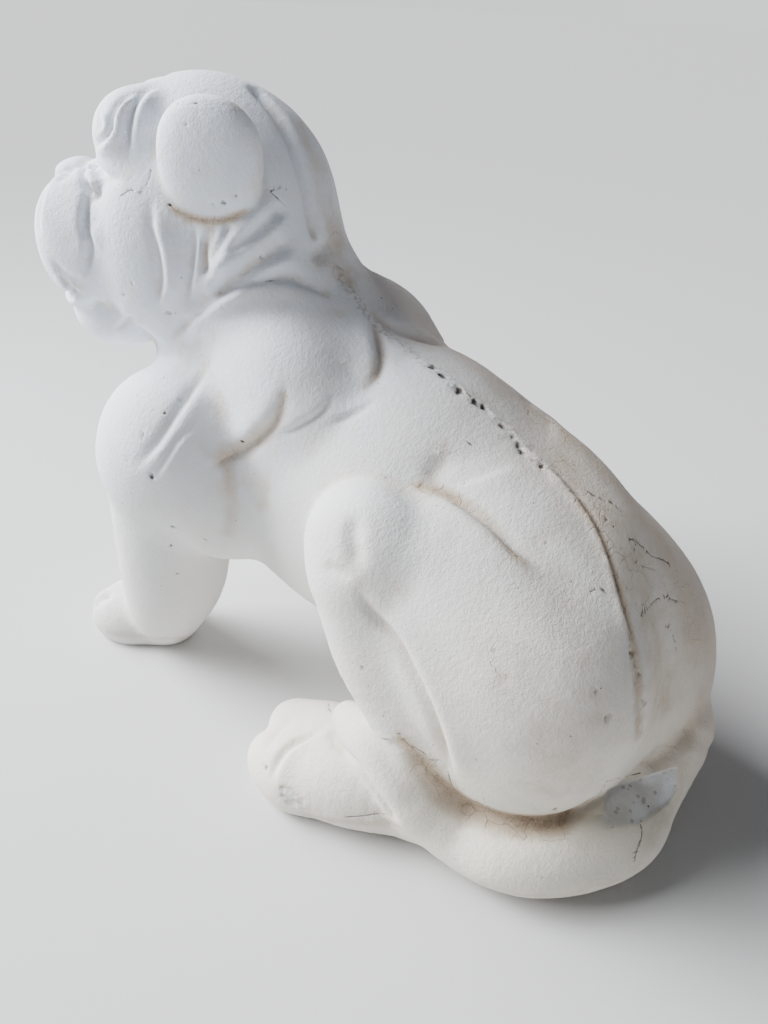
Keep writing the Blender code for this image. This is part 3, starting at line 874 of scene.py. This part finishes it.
def carve(mesh, marks, shapes):
    """Presses in the cracks, air holes and chips, and roughens the seam."""
    points = places(mesh)
    outward = normals(mesh)
    depth = np.zeros(len(points))
    for crack in marks["cracks"]:
        depth += CRACK_DEPTH * np.exp(-((line_gap(points, crack, 3) / CRACK_WIDTH) ** 2))
    for centre, radius in marks["holes"]:
        away = np.linalg.norm(points - centre, axis=1)
        depth += HOLE_DEPTH * radius * np.clip(1.25 - away / radius, 0, 1)
    inside, in_toe = within(points, CHIP, shapes), within(points, TOE_CHIP, shapes)
    chipped = np.clip(inside / 1.2 + 0.5, 0, 1)
    rough = np.zeros(len(points))
    near = np.where((inside > -2) | (in_toe > -2))[0]
    rough[near] = lumps(points[near], 4, 5)
    depth += chipped * (CHIP_DEPTH + 0.5 * rough)
    depth += np.clip(in_toe / 1.5 + 0.5, 0, 1) * (TOE_CHIP_DEPTH + 1.1 * rough)
    for line, width, strength in zip(marks["seams"], (SEAM_WIDTH, 0.7 * SEAM_WIDTH), (0.9, 0.5)):
        gap = line_gap(points, line, 3 * width)
        near = np.where(gap < 2 * width)[0]
        depth[near] += strength * np.exp(-((gap[near] / width) ** 4)) * (lumps(points[near], 3.2, 9) + 0.15)
    put(mesh, points - outward * np.clip(depth, -2, 4)[:, None])


def normals(mesh):
    """Which way the surface faces at each vertex."""
    facings = np.empty(len(mesh.vertices) * 3)
    mesh.vertices.foreach_get("normal", facings)
    return facings.reshape(-1, 3)


def hollows(mesh, rounds):
    """How deep each vertex lies below its smoothed surroundings, in grains."""
    points = places(mesh)
    ends = np.empty(len(mesh.edges) * 2, np.int32)
    mesh.edges.foreach_get("vertices", ends)
    here, there = np.concatenate([ends[::2], ends[1::2]]), np.concatenate([ends[1::2], ends[::2]])
    count = np.bincount(here, minlength=len(points))
    smooth = points.copy()
    for _ in range(rounds):
        pull = [np.bincount(here, smooth[there, axis], len(points)) / count for axis in range(3)]
        smooth = np.column_stack(pull)
    return np.sum((smooth - points) * normals(mesh), axis=1)


def paint_marks(mesh, marks, shapes):
    """Writes on each vertex how dirty it is and how much painted shade it has, how much of it is crack or
    air hole, seam or bare concrete.
    """
    points = places(mesh)
    # Fine creases hold dirt; the broad hollows are darkened as painted shade.
    crease_dirt_and_hollow_shade = np.clip(hollows(mesh, 12) / 0.5, 0, 1) * 0.5 + np.clip(hollows(mesh, 60) / 2.2, 0, 1) * 0.5
    dirt_and_painted_shade = 0.4 * crease_dirt_and_hollow_shade
    for (_, width, strength), line in zip(DIRT_AND_PAINTED_SHADE, cast_lines([each[0] for each in DIRT_AND_PAINTED_SHADE], shapes)):
        lying = strength * np.exp(-((line_gap(points, line, 3 * width) / width) ** 2))
        dirt_and_painted_shade = np.maximum(dirt_and_painted_shade, lying + 0.4 * dirt_and_painted_shade)
    dark = np.zeros(len(points))
    for crack in marks["cracks"]:
        dark = np.maximum(dark, 0.75 * np.exp(-((line_gap(points, crack, 3) / CRACK_DIRT) ** 2)))
    for centre, radius in marks["holes"]:
        away = np.linalg.norm(points - centre, axis=1)
        dark = np.maximum(dark, np.clip(1.5 - away / radius, 0, 1))
    seam = np.zeros(len(points))
    for line, width, strength in zip(marks["seams"], (SEAM_WIDTH, 0.7 * SEAM_WIDTH), (1, 0.6)):
        seam = np.maximum(seam, strength * np.exp(-((line_gap(points, line, 3 * width) / width) ** 4)))
    bare = np.clip(within(points, CHIP, shapes) / 1.2 + 0.5, 0, 1)
    bare = np.maximum(bare, 0.7 * np.clip(within(points, TOE_CHIP, shapes) / 1.5 + 0.5, 0, 1))
    for name, values in (("dirt_and_painted_shade", dirt_and_painted_shade), ("dark", dark), ("seam", seam), ("bare", bare)):
        layer = mesh.attributes.new(name, "FLOAT", "POINT")
        layer.data.foreach_set("value", np.clip(values, 0, 1).astype(np.float32))


def one_skin(mesh):
    """Keeps the skin that reaches the top of the head, and drops any bubble shut up inside it."""
    work = bmesh.new()
    work.from_mesh(mesh)
    ends = [max(work.verts, key=lambda vert: vert.co.z)]
    skin = set(ends)
    while ends:
        vert = ends.pop()
        near = [edge.other_vert(vert) for edge in vert.link_edges]
        ends += [other for other in near if other not in skin]
        skin.update(near)
    bmesh.ops.delete(work, geom=[vert for vert in work.verts if vert not in skin], context="VERTS")
    work.to_mesh(mesh)
    work.free()
    return mesh


def sculpted():
    """The statue's surface: the masses with all their folds and marks, cut off flat underneath."""
    shapes = all_shapes()
    clay = rough_clay(shapes, CLAY_VOXEL)
    put(clay, settle(places(clay), lambda spots: clay_distance(spots, shapes), rounds=3))
    mesh = worked(clay, "cells", "REMESH", mode="VOXEL", voxel_size=SURFACE_VOXEL)
    face_curves = drawn(FACE_FOLDS, head_axes(), np.array(HEAD_PLACE, float))
    curves = seen_curves(shapes) + laid(drawn(PAW_FOLDS) + face_curves, shapes)
    base = settle(places(mesh), lambda spots: clay_distance(spots, shapes), rounds=1)
    outward = facing(base, shapes)
    height = relief(base, outward, curves)
    for size, swell, seed in SWELLS:
        height = height + swell * lumps(base, size, seed)
    put(mesh, base + outward * height[:, None])
    triangles = sum(len(face.vertices) - 2 for face in mesh.polygons)
    mesh = worked(mesh, "thin", "DECIMATE", ratio=min(1, SURFACE_TRIANGLES / triangles))
    mesh = one_skin(mesh)
    marks = fine_marks(shapes)
    dots = [np.array((centre, centre + (0, 0, 0.1))) for centre, _ in marks["holes"]]
    for reach, shortest in FINER_CELLS:
        cut_finer(mesh, marks["cracks"] + marks["rims"] + dots, reach, shortest)
    carve(mesh, marks, shapes)
    cut_flat(mesh)
    paint_marks(mesh, marks, shapes)
    mesh.transform(Matrix.Scale(GRAIN, 4) @ Matrix.Translation((-MIDDLE[0], -MIDDLE[1], 0)))
    return mesh


def srgb(code):
    """A colour's linear values from its sRGB hex code."""
    parts = [int(code[place : place + 2], 16) / 255 for place in (0, 2, 4)]
    return (*[part / 12.92 if part <= 0.04045 else ((part + 0.055) / 1.055) ** 2.4 for part in parts], 1)


def node(tree, kind, inputs, **settings):
    """Adds a node. Each input is given a value, or the socket that feeds it."""
    item = tree.nodes.new("ShaderNode" + kind)
    for name, value in settings.items():
        setattr(item, name, value)
    for name, value in inputs.items():
        if isinstance(value, bpy.types.NodeSocket):
            tree.links.new(value, item.inputs[name])
        else:
            item.inputs[name].default_value = value
    return item


def mixed(tree, amount, first, second):
    """One colour turning into another by an amount."""
    mix = node(tree, "Mix", {0: amount, 6: first, 7: second}, data_type="RGBA")
    return mix.outputs[2]


def sums(tree, kind, first, second):
    """A sum of two values."""
    return node(tree, "Math", {0: first, 1: second}, operation=kind).outputs[0]


def eased(tree, value, low, high, start=0, end=1):
    """A value eased from one range into another, and held at its ends."""
    inputs = {"Value": value, "From Min": low, "From Max": high, "To Min": start, "To Max": end}
    return node(tree, "MapRange", inputs, interpolation_type="SMOOTHSTEP").outputs[0]


def painted_concrete():
    """Matt white masonry paint, brushed thickly over rough cast concrete and weathered outdoors, with
    painted shade and painted tints of light in its colour.
    """
    material = bpy.data.materials.new("masonry-painted cast concrete")
    material.use_nodes = True
    tree = material.node_tree
    shader = tree.nodes["Principled BSDF"]
    place = node(tree, "TexCoord", {}).outputs["Object"]
    lengthwise = node(tree, "SeparateXYZ", {0: place}).outputs

    def marked(name):
        """What was written on the surface under this name."""
        return node(tree, "Attribute", {}, attribute_name=name).outputs["Fac"]

    def grains(size, detail=3, roughness=0.55):
        """Noise with lumps of this size in millimetres."""
        inputs = {"Vector": place, "Scale": 1000 / size, "Detail": detail, "Roughness": roughness}
        return node(tree, "TexNoise", inputs).outputs[0]

    def pores(size, radius, chance):
        """Round air holes: one in each cell of this size, in millimetres, with the given chance."""
        cells = node(tree, "TexVoronoi", {"Vector": place, "Scale": 1000 / size, "Randomness": 1})
        few = node(tree, "SeparateXYZ", {0: cells.outputs["Color"]}).outputs[0]
        there = eased(tree, few, chance, chance - 0.02)
        hole = eased(tree, cells.outputs["Distance"], radius / size, 0.6 * radius / size)
        return sums(tree, "MULTIPLY", hole, there)

    dirt_and_painted_shade, seam, bare = marked("dirt_and_painted_shade"), marked("seam"), marked("bare")
    dark = eased(tree, marked("dark"), 0.15, 0.65)
    clouds, mottle, brushing, skin = grains(60, 2), grains(14), grains(3.2, 3, 0.6), grains(1.3, 2)

    # Painted light: the head and shoulders are tinted a bluish white as painted cool daylight, the haunches
    # are plain, and the feet and tail a warmer cream as painted warm bounce light.
    down = sums(tree, "MULTIPLY", lengthwise[2], -0.8)
    painted_light_tint = sums(tree, "ADD", sums(tree, "MULTIPLY", lengthwise[1], 0.5), down)
    painted_light_tint = sums(tree, "ADD", painted_light_tint, sums(tree, "MULTIPLY", sums(tree, "SUBTRACT", clouds, 0.5), 0.2))
    paint = mixed(tree, eased(tree, painted_light_tint, -0.36, -0.1), srgb("E2E8F1"), srgb("DFDDD9"))
    paint = mixed(tree, eased(tree, painted_light_tint, -0.12, 0.06), paint, srgb("ECE6D8"))
    paint = mixed(tree, eased(tree, mottle, 0.45, 0.75, 0, 0.4), paint, srgb("DDD9D1"))

    # A thin brownish painted shade with warm reflected light covers the far side of the neck and back, and
    # fades out toward the face.
    far_side_painted_shade = eased(tree, lengthwise[0], 0.012, -0.05, 0, 0.6)
    far_side_painted_shade = sums(tree, "MULTIPLY", far_side_painted_shade, eased(tree, lengthwise[1], -0.13, -0.02))
    paint = mixed(tree, far_side_painted_shade, paint, srgb("C9B8AA"))

    # Ochre dirt lies in the creases and fades out unevenly. The same ochre also paints shade into the broad
    # hollows and over the back of the haunch and the far side of the back.
    patchy = sums(tree, "ADD", dirt_and_painted_shade, sums(tree, "MULTIPLY", sums(tree, "SUBTRACT", mottle, 0.5), 0.5))
    paint = mixed(tree, eased(tree, patchy, 0.1, 0.9, 0, 0.8), paint, srgb("BBA68C"))
    specks = sums(tree, "ADD", patchy, sums(tree, "MULTIPLY", skin, 0.4))
    paint = mixed(tree, eased(tree, specks, 0.95, 1.5), paint, srgb("7A6350"))

    # The seam down the spine is rough and grey, with holes in it.
    seam_grey = sums(tree, "MULTIPLY", seam, eased(tree, brushing, 0.45, 0.62))
    paint = mixed(tree, sums(tree, "MULTIPLY", seam_grey, 0.55), paint, srgb("96918A"))

    # Bare concrete shows a pale cement with grit of several greys in it.
    grit = node(tree, "TexVoronoi", {"Vector": place, "Scale": 260})
    stones = eased(tree, grit.outputs["Distance"], 0.42, 0.3)
    odd = node(tree, "SeparateXYZ", {0: grit.outputs["Color"]}).outputs[1]
    stones = sums(tree, "MULTIPLY", stones, eased(tree, odd, 0.6, 0.75))
    concrete = mixed(tree, eased(tree, mottle, 0.35, 0.65), srgb("EAEBEC"), srgb("DAD9D6"))
    concrete = mixed(tree, sums(tree, "MULTIPLY", stones, 0.45), concrete, srgb("7E7D7A"))
    paint = mixed(tree, bare, paint, concrete)

    # Air holes a millimetre or two wide are all over the casting, and hold dark dirt, as the cracks do.
    holes = sums(tree, "MAXIMUM", pores(9, 0.55, 0.3), pores(26, 0.9, 0.25))
    wander = node(tree, "TexNoise", {"Vector": place, "Scale": 60}).outputs[1]
    wander = node(tree, "Mix", {0: 0.02, 4: place, 5: wander}, data_type="VECTOR").outputs[1]
    crazing = node(tree, "TexVoronoi", {"Vector": wander, "Scale": 48}, feature="DISTANCE_TO_EDGE")
    hairs = eased(tree, crazing.outputs["Distance"], 0.016, 0.004)
    hairs = sums(tree, "MULTIPLY", hairs, eased(tree, sums(tree, "ADD", dirt_and_painted_shade, clouds), 0.85, 1.1))
    black = sums(tree, "MAXIMUM", sums(tree, "MAXIMUM", dark, holes), sums(tree, "MULTIPLY", hairs, 0.3))
    paint = mixed(tree, sums(tree, "MULTIPLY", black, 0.9), paint, srgb("463A30"))
    tree.links.new(paint, shader.inputs["Base Color"])
    shader.inputs["Roughness"].default_value = 0.8
    shader.inputs["Specular IOR Level"].default_value = 0.3

    # The brush left the paint dimpled like orange peel, and the casting under it is pitted.
    height = sums(tree, "ADD", sums(tree, "MULTIPLY", brushing, 0.55), sums(tree, "MULTIPLY", skin, 0.3))
    height = sums(tree, "SUBTRACT", height, sums(tree, "MULTIPLY", holes, 1.2))
    height = sums(tree, "SUBTRACT", height, sums(tree, "MULTIPLY", hairs, 0.3))
    bump = node(tree, "Bump", {"Strength": 0.8, "Distance": 0.0012, "Height": height})
    tree.links.new(bump.outputs[0], shader.inputs["Normal"])
    return material


def place_camera():
    """The camera that sees the statue at the photograph's angle."""
    lens = bpy.data.cameras.new("camera")
    lens.sensor_width = FILM_WIDTH
    lens.lens = FOCAL_PIXELS * FILM_WIDTH / PHOTO_SIZE[1]
    lens.clip_start = 0.01
    camera = bpy.data.objects.new("camera", lens)
    turn = Matrix(camera_axes()).to_4x4()
    place = (np.array(CAMERA_PLACE) - (MIDDLE[0], MIDDLE[1], 0)) * GRAIN
    camera.matrix_world = Matrix.Translation(place) @ turn
    bpy.context.scene.collection.objects.link(camera)
    bpy.context.scene.camera = camera


def lamp(name, kind, place, power, colour, **shape):
    """A soft light that shines from its place at the statue's middle."""
    light = bpy.data.lights.new(name, kind)
    light.energy = power
    light.color = srgb(colour)[:3]
    for key, value in shape.items():
        setattr(light, key, value)
    item = bpy.data.objects.new(name, light)
    aim = Vector((0, 0, 0.2)) - Vector(place)
    item.matrix_world = Matrix.Translation(place) @ aim.to_track_quat("-Z", "Y").to_matrix().to_4x4()
    bpy.context.scene.collection.objects.link(item)


def studio():
    """A wide pale floor, with soft daylight from the upper left of the picture."""
    work = bmesh.new()
    bmesh.ops.create_circle(work, cap_ends=True, segments=64, radius=20)
    rim = bmesh.ops.extrude_edge_only(work, edges=work.edges[:])["geom"]
    rim = [item for item in rim if isinstance(item, bmesh.types.BMVert)]
    bmesh.ops.scale(work, verts=rim, vec=(3, 3, 1))
    bmesh.ops.translate(work, verts=rim, vec=(0, 0, 4))
    mesh = bpy.data.meshes.new("floor")
    work.to_mesh(mesh)
    work.free()
    floor = bpy.data.objects.new("floor", mesh)
    bpy.context.scene.collection.objects.link(floor)
    material = bpy.data.materials.new("pale floor")
    material.use_nodes = True
    shader = material.node_tree.nodes["Principled BSDF"]
    shader.inputs["Base Color"].default_value = srgb("D2D2D2")
    shader.inputs["Roughness"].default_value = 0.9
    floor.data.materials.append(material)
    world = bpy.data.worlds.new("studio")
    bpy.context.scene.world = world
    world.use_nodes = True
    world.node_tree.nodes["Background"].inputs["Color"].default_value = srgb("EEF2FA")
    world.node_tree.nodes["Background"].inputs["Strength"].default_value = 0.17
    lamp("daylight", "SUN", (0.38, -1.02, 0.9), 9.4, "FCFDFF", angle=math.radians(52))
    lamp("window", "AREA", (0.48, -0.92, 0.95), 20, "F8FBFF", shape="DISK", size=0.6)


def main():
    """Lays the statue's skin over the solid, and sets it in the studio."""
    statue = bpy.data.objects.new("statue_surface", sculpted())
    bpy.context.scene.collection.objects.link(statue)
    statue.data.shade_smooth()
    statue.data.materials.clear()
    statue.data.materials.append(painted_concrete())
    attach(statue, "root")
    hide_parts("bulldog_statue")
    place_camera()
    studio()


main()
